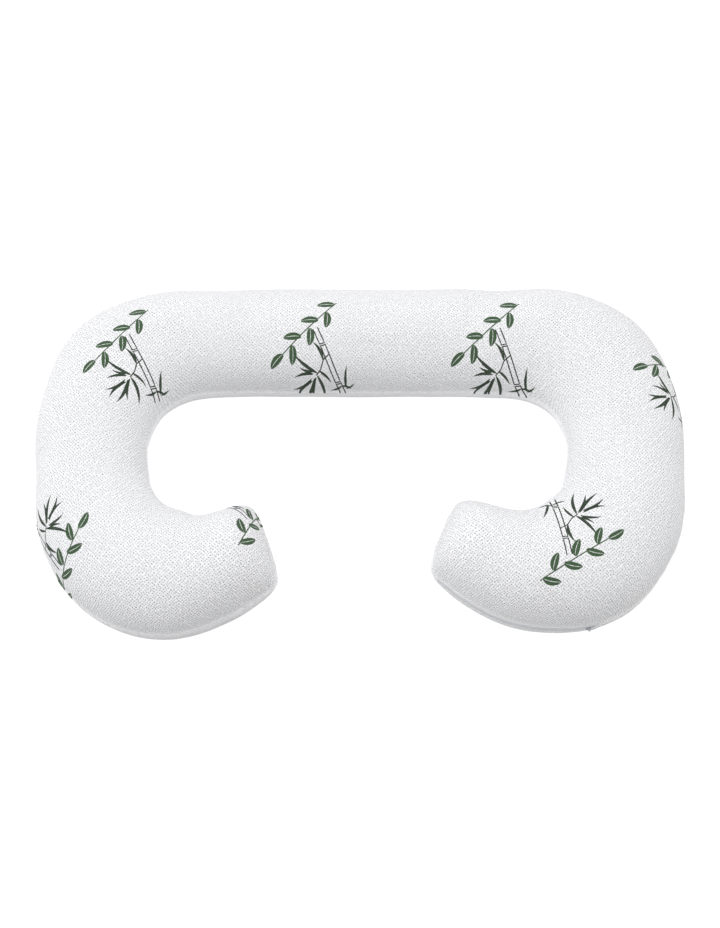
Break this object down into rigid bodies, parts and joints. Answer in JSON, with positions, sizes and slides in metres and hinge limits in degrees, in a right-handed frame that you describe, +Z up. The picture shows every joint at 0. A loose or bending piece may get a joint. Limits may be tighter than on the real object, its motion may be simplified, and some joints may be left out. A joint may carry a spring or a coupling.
{
  "type": "body pillow",
  "caption": "Long filled pillow in a wide C shape with both ends curled inward, a seam round its sides and a zip in one curl, lying flat.",
  "frame": {"origin": "centre of the pillow's box, on the surface it lies on", "axes": "+X along the straight bar, +Y from the mouth between the tips towards the bar, +Z up through the pillow's thickness"},
  "size_m": [1.3966, 0.8024, 0.2281],
  "materials": {
    "knit_cover": "white stretch knit with small pin dimples and a printed green sprig pattern",
    "zip_tape": "smooth woven white tape",
    "zip_hardware": "satin light grey nylon"
  },
  "bodies": {
    "root": {"pillow": "knit_cover", "zip_tape": "zip_tape", "zip_slider": "zip_hardware", "zip_pull": "zip_hardware"}
  },
  "joints": []
}
